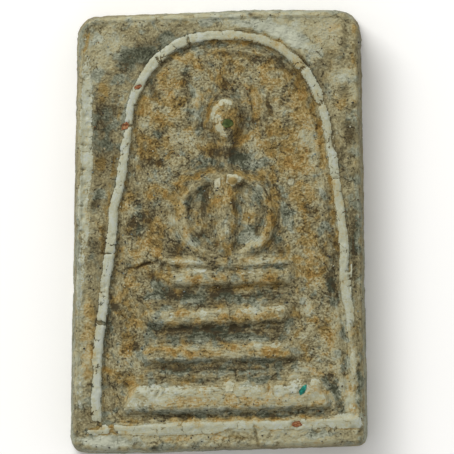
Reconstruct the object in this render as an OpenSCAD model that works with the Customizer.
// Pressed lime-plaster votive tablet: a seated figure under an arch, on a stepped base,
// with the grains of stone, brick and lime that the paste carries. It lies on its back:
// +Z out of the face, +Y towards the head, origin at the centre of the back.

/* [Tablet] */
// Height of the tablet, foot to head
tablet_h = 36; // [33:0.5:40]
// Width across the foot, the widest place
tablet_w = 24.2; // [23:0.1:27]
// How much narrower the head is than the foot
taper = 1.2; // [0:0.1:2]
// Thickness from the back to the plain ground outside the arch
thickness = 4.2; // [3.4:0.1:6]
// Slope of the hand-cut head edge, left of its crest, in degrees
head_cant = 2; // [0.5:0.1:4]
// Sideways place of the crest of the head edge
crest_x = 4; // [0:0.1:5]
// Slope of the hand-cut foot edge, right of its lowest stretch, in degrees
foot_cant = 1.9; // [0.5:0.1:4]
// Sideways place where the foot edge starts to rise
keel_x = -5.6; // [-8:0.1:0]
// Lean of the sides: how far the face is set in from the back
draft = 0.25; // [0.1:0.05:0.35]
// Worn round along the edge of the face
edge_round = 0.4; // [0.2:0.05:0.5]
// Worn round along the edge of the back
back_round = 0.2; // [0.1:0.05:0.3]
// Corner radius at the foot, left
corner_foot_left = 1.3; // [1:0.1:2.5]
// Corner radius at the foot, right
corner_foot_right = 0.9; // [0.9:0.1:2.5]
// Corner radius at the head, right
corner_head_right = 2; // [1:0.1:2.5]
// Corner radius at the head, left
corner_head_left = 1.9; // [1:0.1:2.5]

/* [Border line] */
// Width of the raised border line
border_w = 0.62; // [0.4:0.02:0.7]
// Height of the border line above the ground
border_rise = 0.2; // [0.1:0.02:0.35]
// Distance of the border line from the left edge
trim_left = 0.7; // [0.7:0.05:1.2]
// Distance of the border line from the right edge
trim_right = 0.7; // [0.7:0.05:1.2]
// Distance of the border line from the head edge
trim_head = 0.75; // [0.7:0.05:1.2]
// Distance of the foot line from the foot edge
trim_foot = 1.95; // [1.4:0.05:2.4]
// Width of the heavier line across the foot
foot_line_w = 0.95; // [0.7:0.05:1.1]
// Height of the heavier line across the foot
foot_line_rise = 0.35; // [0.2:0.05:0.5]

/* [Arch] */
// Width of the arch's ridge
arch_w = 0.8; // [0.6:0.02:1]
// Height of the arch's ridge above the ground outside it
arch_rise = 0.42; // [0.25:0.01:0.6]
// Half width of the arch at its feet
arch_foot = 10.55; // [9.8:0.05:10.8]
// How much the legs close in on their way up
arch_taper = 3.75; // [2.8:0.05:4.4]
// Height of the arch's round head
arch_head = 8.4; // [7.5:0.1:9.5]
// Distance of the arch's top from the head edge of the tablet
arch_margin = 2; // [1.6:0.05:2.6]
// How far the ground inside the arch is sunk
niche_depth = 0.15; // [0.05:0.01:0.25]
// Width of the groove inside the arch and under each step
groove_w = 0.8; // [0.5:0.05:1]
// Depth of that groove below the sunk ground
groove_depth = 0.18; // [0.05:0.01:0.25]

/* [Figure] */
// Sideways place of the arch and the figure from the tablet's middle
figure_x = 0.58; // [0:0.02:0.7]
// Width of the head
head_w = 2.4; // [2:0.1:2.8]
// Length of the head
head_l = 3.65; // [3:0.05:3.9]
// Height of the head above the sunk ground
head_rise = 0.8; // [0.5:0.05:1.1]
// Height of the brow, nose and lips above the round of the head
feature_rise = 0.09; // [0.04:0.01:0.15]
// Gap from the shoulders up to the chin
neck_l = 2.8; // [2.4:0.1:3.2]
// Width of the neck
neck_w = 1.2; // [0.8:0.05:1.5]
// Height of the neck above the sunk ground
neck_rise = 0.35; // [0.2:0.05:0.5]
// Width of the flame above the head
flame_w = 0.42; // [0.3:0.02:0.6]
// Height of the flame above the sunk ground
flame_rise = 0.3; // [0.2:0.02:0.45]
// How far the flame's tip leans to the left
flame_lean = 0.9; // [0:0.05:1.2]
// Distance of each long ear from the head's middle line
ear_reach = 2.4; // [2.1:0.05:2.8]
// Length of each long ear
ear_l = 4; // [3:0.1:5]
// Width of each long ear
ear_w = 0.7; // [0.4:0.05:0.9]
// Height of each long ear above the sunk ground
ear_rise = 0.26; // [0.15:0.01:0.4]
// Distance across the round of the arms, ridge to ridge
arms_w = 7; // [6.6:0.1:8]
// Height of the round of the arms, ridge to ridge
arms_h = 6.4; // [6:0.1:7]
// Thickness of each arm
arm_w = 0.95; // [0.7:0.05:1.2]
// Height of the arms above the sunk ground
arm_rise = 0.5; // [0.3:0.02:0.7]
// Width of the chest
chest_w = 2.5; // [2.2:0.1:3]
// Width of the waist
waist_w = 1.4; // [1.2:0.1:2]
// Height of the body above the sunk ground
body_rise = 0.66; // [0.45:0.02:0.8]
// Width across the knees
knees_w = 10.6; // [9:0.1:11]
// Thickness of the folded legs
lap_w = 0.95; // [0.7:0.05:1.1]
// Height of the folded legs above the sunk ground
lap_rise = 0.56; // [0.4:0.02:0.7]
// Sag of the folded legs at their middle
lap_sag = 0.3; // [0.1:0.05:0.5]

/* [Base] */
// Distance from the foot line to the middle of the bottom step
foot_gap = 2.4; // [2.2:0.05:2.7]
// Distance from the bottom step to the middle step, middle to middle
bottom_gap = 3.65; // [3.4:0.05:3.8]
// Distance from the middle step to the upper step, middle to middle
middle_gap = 2.95; // [2.8:0.05:3.1]
// Distance from the upper step to the seat, middle to middle
upper_gap = 3.15; // [2.9:0.05:3.3]
// Height of the figure's shoulders above the middle of the seat
sitting_h = 8.1; // [7.9:0.05:8.4]
// Slope of the steps, in degrees
cant = 1.6; // [0:0.1:2.5]
// Width of the seat, the narrowest step
seat_w = 10.7; // [10:0.1:11.2]
// Depth of the seat on the face
seat_d = 1.3; // [1:0.05:1.4]
// Width of the upper step along its top
upper_w = 11.9; // [11:0.1:12.4]
// Depth of the upper step on the face
upper_d = 1.4; // [1:0.05:1.6]
// Width of the middle step along its foot
middle_w = 12.7; // [12:0.1:13.2]
// Depth of the middle step on the face
middle_d = 1.45; // [1:0.05:1.6]
// How far the upper and middle steps stand to the left of the figure
steps_left = 0.75; // [0:0.05:0.9]
// How much narrower the upper step's foot and the middle step's top are
steps_splay = 1.1; // [0.4:0.1:1.4]
// Width of the bottom step along its top
bottom_w = 15.2; // [14:0.1:15.4]
// Depth of the bottom step on the face
bottom_d = 2.25; // [1.6:0.05:2.3]
// How much further each end of the bottom step reaches at its foot
bottom_splay = 1.15; // [0.5:0.05:1.2]
// Height of the steps above the sunk ground
step_rise = 0.55; // [0.35:0.05:0.8]
// Height of the bottom step above the sunk ground
bottom_rise = 0.68; // [0.45:0.02:0.9]
// Radius of the steps' worn corners
step_corner = 0.42; // [0.3:0.02:0.46]

/* [Fragments] */
// Gap between a fragment and the hole that the paste leaves for it
bed_gap = 0.03; // [0.02:0.01:0.05]
// How deep a fragment sits in the paste
bed_depth = 0.45; // [0.35:0.05:0.6]
// How far a fragment stands proud of the worn surface
proud = 0.06; // [0.02:0.01:0.1]

/* [Hidden] */

// Steps in a rounded corner, in half of the arch's head, in a leg, and round the arms or head
corner_steps = 6;
head_steps = 14;
leg_steps = 8;
ring_steps = 28;

// Depth that relief is carried below the ground, so that it grows out of the tablet
root = 0.5;
niche_z = thickness - niche_depth;

// Cross-section of a worn ridge above its root, as shares of its half width and of its rise
RIDGE = [[-0.86, 0.55], [-0.5, 0.93], [0, 1], [0.5, 0.93], [0.86, 0.55]];
// Cross-section of a groove, as shares of its half width and of its depth
GROOVE = [[0.55, -0.7], [0, -1], [-0.55, -0.7]];

function unit(v) = v / norm(v);

// Y of the tablet's head and foot edges at a given x, and half its width at a given y
function head_edge(x) = tablet_h / 2 - max(crest_x - x, 0) * tan(head_cant);
function foot_edge(x) = -tablet_h / 2 + max(x - keel_x, 0) * tan(foot_cant);
function half_width(y) = tablet_w / 2 - taper / 2 * (y + tablet_h / 2) / tablet_h;

// Corners of the back, anticlockwise from the foot's left: x, y, radius
head_half = half_width(tablet_h / 2);
bend_radius = 60;
TABLET_CORNERS = [
    [-tablet_w / 2, foot_edge(-tablet_w / 2), corner_foot_left],
    [keel_x, foot_edge(keel_x), bend_radius],
    [tablet_w / 2, foot_edge(tablet_w / 2), corner_foot_right],
    [head_half, head_edge(head_half), corner_head_right],
    [crest_x, head_edge(crest_x), bend_radius],
    [-head_half, head_edge(-head_half), corner_head_left]];

// Outline of a convex shape with rounded corners, moved in by inset and sideways by shift
function rounded(corners, inset, shift = [0, 0]) =
    let (n = len(corners))
    [for (i = [0:n - 1])
        let (before = corners[(i + n - 1) % n], here = corners[i], after = corners[(i + 1) % n],
             into = unit([here.x - before.x, here.y - before.y]),
             out = unit([after.x - here.x, after.y - here.y]),
             turn = acos(into * out),
             radius = here[2],
             centre = [here.x, here.y] - into * radius * tan(turn / 2)
                      + radius * [-into.y, into.x],
             start = atan2(-into.x, into.y))
        for (s = [0:corner_steps])
            let (a = start + turn * s / corner_steps)
            centre + shift + (radius - inset) * [cos(a), sin(a)]];

function at_height(outline, z) = [for (p = outline) [p.x, p.y, z]];

// Solid through closed sections with the same number of points, from the bottom up
module loft(sections) {
    n = len(sections[0]);
    m = len(sections);
    polyhedron(
        points = [for (section = sections) each section],
        faces = concat(
            [[for (i = [0:n - 1]) i]],
            [for (k = [0:m - 2]) for (i = [0:n - 1])
                let (j = (i + 1) % n, a = k * n, b = (k + 1) * n)
                each [[a + i, b + i, b + j], [a + i, b + j, a + j]]],
            [[for (i = [n - 1:-1:0]) (m - 1) * n + i]]));
}

// Plate with a worn, pillowed top that grows out of the ground, steeper on its lower side
module pillow(corners, rise, edge, lean = 0) {
    function layer(share_in, share_up) =
        at_height(rounded(corners, edge * share_in, [0, -lean * share_in]),
                  niche_z + rise * share_up);
    loft([
        at_height(rounded(corners, 0), niche_z - root),
        layer(0.2, 0.6),
        layer(0.55, 0.9),
        layer(1, 1)]);
}

// Direction to the right of a path at point i, from the points on either side
function across(path, i, closed = false) =
    let (n = len(path),
         before = closed ? path[(i + n - 1) % n] : path[max(i - 1, 0)],
         after = closed ? path[(i + 1) % n] : path[min(i + 1, n - 1)],
         along = unit([after.x - before.x, after.y - before.y]))
    [along.y, -along.x];

// Sweep of a profile along a path of rows: x, y, ground z, width, rise or depth.
// The profile is carried on straight down by sink, or up where sink is negative.
module sweep(path, profile, sink, closed) {
    ends = [[profile[0].x < 0 ? -1 : 1, -sink], [profile[0].x < 0 ? 1 : -1, -sink]];
    function section(i) =
        let (side = across(path, i, closed), z = path[i][2], half = path[i][3] / 2, rise = path[i][4])
        [for (p = concat([[ends[0].x, ends[0].y / rise]], profile, [[ends[1].x, ends[1].y / rise]]))
            [path[i].x + side.x * p.x * half, path[i].y + side.y * p.x * half, z + p.y * rise]];
    n = len(profile) + 2;
    m = len(path);
    polyhedron(
        points = [for (i = [0:m - 1]) each section(i)],
        faces = concat(
            closed ? [] : [[for (i = [0:n - 1]) i]],
            [for (k = [0:(closed ? m : m - 1) - 1]) for (i = [0:n - 1])
                let (j = (i + 1) % n, a = k * n, b = (k + 1) % m * n)
                each [[a + i, b + j, a + j], [a + i, b + i, b + j]]],
            closed ? [] : [[for (i = [n - 1:-1:0]) (m - 1) * n + i]]));
}

// Worn half-round ridge along a path
module ridge(path, closed = false) {
    sweep(path, RIDGE, root, closed);
}

// Tool for a rounded groove along a path
module groove(path) {
    sweep(path, GROOVE, -root, false);
}

// Slab with leaning sides, a rounded back edge and a worn face edge
module slab() {
    function section(inset, z) = at_height(rounded(TABLET_CORNERS, inset), z);
    loft(concat(
        [section(back_round, 0), section(0, back_round), section(draft, thickness - edge_round)],
        [for (a = [30:30:90])
            section(draft + edge_round * (1 - cos(a)), thickness - edge_round * (1 - sin(a)))]));
}

// Y of the foot line at a given x
function foot_line(x) = foot_edge(x) + trim_foot;

// How fast the legs close in and how square the head is
leg_curve = 1.75;
head_curve = 2.65;
arch_top = head_edge(figure_x) - arch_margin;
arch_total = arch_top - foot_line(figure_x);

// Half width of the arch at a given depth below its top
function arch_half(depth) =
    let (legs = arch_foot - arch_taper * pow(1 - depth / arch_total, leg_curve),
         left = 1 - depth / arch_head)
    depth < arch_head ? legs * pow(1 - pow(left, head_curve), 1 / head_curve) : legs;

function arch_point(side, depth) = [figure_x + side * arch_half(depth), arch_top - depth];

// Centre line of the arch: up the left leg, round the head and down the right leg
ARCH_DEPTHS = concat(
    [for (s = [leg_steps:-1:1]) arch_head + (arch_total - arch_head) * s / leg_steps],
    [for (s = [0:head_steps - 1])
        arch_head * (1 - pow(sin(90 * s / head_steps), 2 / head_curve))]);
ARCH = concat(
    [for (depth = ARCH_DEPTHS) arch_point(-1, depth)],
    [[figure_x, arch_top]],
    [for (i = [len(ARCH_DEPTHS) - 1:-1:0]) arch_point(1, ARCH_DEPTHS[i])]);

module arch() {
    ridge([for (p = ARCH) [p.x, p.y, thickness, arch_w, arch_rise]]);
}

// Ground inside the arch, to be taken from the slab
module niche() {
    translate([0, 0, niche_z])
        linear_extrude(thickness)
            polygon(ARCH);
}

// Groove that follows the inner side of the arch
module arch_groove() {
    inward = (arch_w + groove_w * 0.7) / 2;
    groove([for (i = [1:len(ARCH) - 2])
        let (p = ARCH[i] + across(ARCH, i) * inward)
        [p.x, p.y, niche_z, groove_w, groove_depth]]);
}

// Raised line round the face: light at the sides and head, heavy across the foot
module border() {
    left_foot = -half_width(-tablet_h / 2) + trim_left;
    left_head = -half_width(tablet_h / 2) + trim_left;
    right_foot = half_width(-tablet_h / 2) - trim_right;
    right_head = half_width(tablet_h / 2) - trim_right;
    soft_left = corner_head_left / 2;
    soft_right = corner_head_right / 2;
    function light(x, y) = [x, y, thickness, border_w, border_rise];
    function heavy(x, y) = [x, y, thickness, foot_line_w, foot_line_rise];
    ridge([
        heavy(left_foot, foot_line(left_foot)),
        light(left_foot, foot_line(left_foot) + foot_line_w),
        light(left_head, head_edge(left_head) - trim_head - soft_left),
        light(left_head + soft_left, head_edge(left_head + soft_left) - trim_head),
        light(crest_x, head_edge(crest_x) - trim_head),
        light(right_head - soft_right, head_edge(right_head) - trim_head),
        light(right_head, head_edge(right_head) - trim_head - soft_right),
        light(right_foot, foot_line(right_foot) + foot_line_w),
        heavy(right_foot, foot_line(right_foot)),
        heavy(keel_x, foot_line(keel_x))],
        closed = true);
}

bottom_y = foot_line(figure_x) + foot_gap;
middle_y = bottom_y + bottom_gap;
upper_y = middle_y + middle_gap;
seat_y = upper_y + upper_gap;
shoulder_y = seat_y + sitting_h;
head_y = shoulder_y + neck_l + head_l / 2;

// Egg-shaped outline of the head, wider at the brow than at the chin
brow_swell = 0.13;
function egg(share) = [for (i = [0:ring_steps - 1])
    let (a = 360 * i / ring_steps, half = head_w / 2 * (1 + brow_swell * sin(a)))
    [figure_x + half * share * cos(a), head_y + head_l / 2 * share * sin(a)]];

// Height of the head's round above the back, at shares of its half width and half length
function dome(u, v) = niche_z + head_rise * sqrt(max(1 - u * u - v * v, 0));

module head() {
    loft(concat(
        [at_height(egg(1.04), niche_z - root)],
        [for (a = [18:18:72]) at_height(egg(cos(a)), niche_z + head_rise * sin(a))]));
}

// Worn features of the face, as shares of the head's half width and half length:
// from u, from v, to u, to v, bow upward, width
FACE = [
    [0.14, 0.26, 0.62, 0.2, 0.12, 0.13],
    [0.2, 0.06, 0.58, 0.06, -0.05, 0.15],
    [0, 0.24, 0, -0.2, 0, 0.2],
    [-0.24, -0.46, 0.24, -0.46, -0.03, 0.14]];
face_steps = 4;

module face() {
    for (row = FACE)
        for (side = row[0] > 0 ? [-1, 1] : [1])
            ridge([for (s = [0:face_steps])
                let (t = s / face_steps,
                     u = side * (row[0] + (row[2] - row[0]) * t),
                     v = row[1] + (row[3] - row[1]) * t + row[4] * sin(180 * t),
                     share = 0.7 + 0.3 * sin(180 * t))
                [figure_x + u * head_w / 2, head_y + v * head_l / 2, dome(u, v),
                 row[5] * head_w * share, feature_rise * share]]);
}

module neck() {
    ridge([for (y = [shoulder_y, shoulder_y + neck_l + 0.4])
        [figure_x, y, niche_z, neck_w, neck_rise]]);
}

// Flame over the head, drawn up to just under the arch
module flame() {
    from = head_y + head_l * 0.4;
    to = arch_top - arch_w;
    ridge([for (s = [0:4])
        let (t = s / 4, share = 1 - 0.4 * t)
        [figure_x - flame_lean * (0.3 + 0.7 * t), from + (to - from) * t, niche_z,
         flame_w * share, flame_rise * share]]);
}

// Long ears, one each side, spread at the lobe and tapered to both ends
module ears() {
    for (side = [-1, 1])
        ridge([for (s = [0:6])
            let (t = s / 6, share = 0.45 + 0.55 * sin(180 * t))
            [figure_x + side * (ear_reach + 0.5 * (0.5 - t)), head_y + ear_l * (t - 0.3), niche_z,
             ear_w * share, ear_rise * share]]);
}

arms_y = shoulder_y - arms_h / 2;
// How square the round of the arms is: 1 is an ellipse
arms_square = 0.85;

// Point on the round of the arms
function arms_point(a) =
    [figure_x + arms_w / 2 * sign(cos(a)) * pow(abs(cos(a)), arms_square),
     arms_y + arms_h / 2 * sign(sin(a)) * pow(abs(sin(a)), arms_square)];

module arms() {
    ridge([for (i = [0:ring_steps - 1])
        let (p = arms_point(360 * i / ring_steps))
        [p.x, p.y, niche_z, arm_w, arm_rise]], closed = true);
}

// Chest that narrows to the waist and ends in the lap
module body() {
    chest_y = shoulder_y + arm_w / 2;
    waist_y = shoulder_y - arms_h;
    waist_round = 0.5;
    chest_round = 0.8;
    pillow([
        [figure_x - waist_w / 2, waist_y, waist_round],
        [figure_x + waist_w / 2, waist_y, waist_round],
        [figure_x + chest_w / 2, chest_y, chest_round],
        [figure_x - chest_w / 2, chest_y, chest_round]], body_rise, 0.42);
}

// Folded legs under the round of the arms, sagging between the knees
module lap() {
    lap_y = shoulder_y - arms_h - arm_w / 3;
    ridge([for (s = [-4:4])
        let (t = s / 4, share = 1 - 0.4 * pow(abs(t), 3))
        [figure_x + knees_w / 2 * t, lap_y - lap_sag * (1 - t * t), niche_z,
         lap_w * share, lap_rise * share]]);
}

steps_x = figure_x - steps_left;

// Steps of the base from the seat down: x, y, width of top, width of foot, depth, rise
STEPS = [
    [figure_x, seat_y, seat_w, seat_w, seat_d, step_rise],
    [steps_x, upper_y, upper_w, upper_w - steps_splay, upper_d, step_rise],
    [steps_x, middle_y, middle_w - steps_splay, middle_w, middle_d, step_rise],
    [figure_x, bottom_y, bottom_w, bottom_w + 2 * bottom_splay, bottom_d, bottom_rise]];

module on_step(row) {
    translate([row[0], row[1], 0])
        rotate([0, 0, cant])
            children();
}

// One step of the base, with a soft upper side and a steep lower side
module step(row) {
    top = row[2] / 2;
    foot = row[3] / 2;
    half = row[4] / 2;
    on_step(row)
        pillow([[-foot, -half, step_corner], [foot, -half, step_corner],
                [top, half, step_corner], [-top, half, step_corner]],
               row[5], step_corner * 0.9, step_corner * 0.3);
}

// Groove along the foot of a step
module step_groove(row) {
    foot = row[3] / 2 - step_corner;
    y = -row[4] / 2 - groove_w * 0.3;
    on_step(row)
        groove([for (p = [[-1, 0.5], [-0.8, 1], [0.8, 1], [1, 0.5]])
            [foot * p.x, y, niche_z, groove_w * p.y, groove_depth * p.y]]);
}

// Place on a step, at shares of its half width and half depth
function place_on(row, u, v) =
    let (x = u * row[2] / 2, y = v * row[4] / 2)
    [row[0] + x * cos(cant) - y * sin(cant), row[1] + x * sin(cant) + y * cos(cant)];

// Fragments: name, place, height of the surface around it, turn, length, width, colour
FRAGMENTS = [
    ["green_stone", [figure_x + 0.14, head_y - 0.3], niche_z + head_rise * 0.9, -12, 0.95, 0.68,
     "darkolivegreen"],
    ["teal_stone", place_on(STEPS[3], 0.82, 0.4), niche_z + bottom_rise, 58, 1.05, 0.5, "teal"],
    ["brick_chip_1", [figure_x + 5.7, foot_line(figure_x + 5.7) + 0.05],
     thickness + foot_line_rise, 4, 0.98, 0.48, "sienna"],
    ["brick_chip_2", arch_point(-1, arch_head * 0.5), thickness + arch_rise, 15, 0.68, 0.38,
     "sienna"],
    ["brick_chip_3", arch_point(-1, arch_head * 0.88), thickness + arch_rise, 70, 0.8, 0.6,
     "sienna"],
    ["lime_chip_1", [figure_x - 0.7, shoulder_y - 0.5], niche_z + body_rise, 84, 0.9, 0.48, "ivory"],
    ["lime_chip_2", [figure_x + 0.48, shoulder_y - 0.25], niche_z + body_rise, 0, 0.95, 0.88,
     "wheat"],
    ["lime_chip_3", [figure_x + arms_w / 2 + 1.75, shoulder_y - 0.4], niche_z, 20, 0.66, 0.6,
     "ivory"],
    ["lime_chip_4", place_on(STEPS[3], 0.03, 0.62), niche_z + bottom_rise, 30, 0.72, 0.66, "ivory"]];

// Outline of a broken grain: each corner's distance as a share of its half length or width
CHIP = [1, 0.9, 1.02, 0.86, 1, 0.94, 0.88];

// Outline of a fragment seen from the front, drawn in by shrink and then grown all round
function chip_outline(row, shrink, grow) =
    [for (i = [0:len(CHIP) - 1])
        let (a = 360 * i / len(CHIP), share = CHIP[i] * shrink / 2)
        [(row[4] * share + grow) * cos(a), (row[5] * share + grow) * sin(a)]];

module placed(row) {
    translate([row[1].x, row[1].y, row[2]])
        rotate([0, 0, row[3]])
            children();
}

// Hole that the paste keeps round a fragment
module bed(row) {
    placed(row)
        translate([0, 0, -bed_depth - bed_gap])
            linear_extrude(bed_depth + thickness)
                polygon(chip_outline(row, 1, bed_gap));
}

// Broken grain, narrower in the paste and worn flat on top
module fragment(row) {
    color(row[6])
        placed(row)
            loft([
                at_height(chip_outline(row, 0.8, 0), -bed_depth),
                at_height(chip_outline(row, 1, 0), -bed_depth / 2),
                at_height(chip_outline(row, 1, 0), 0),
                at_height(chip_outline(row, 0.7, 0), proud)]);
}

// Slab with the niche and its grooves sunk in it
module ground() {
    difference() {
        slab();
        niche();
        arch_groove();
        for (row = STEPS)
            step_groove(row);
    }
}

// The pressed tablet: ground and relief as one piece, with a hole for each fragment
module tablet() {
    color("tan")
        difference() {
            union() {
                ground();
                arch();
                border();
                head();
                face();
                neck();
                flame();
                ears();
                arms();
                body();
                lap();
                for (row = STEPS)
                    step(row);
            }
            for (row = FRAGMENTS)
                bed(row);
        }
}

tablet();
for (row = FRAGMENTS)
    fragment(row);
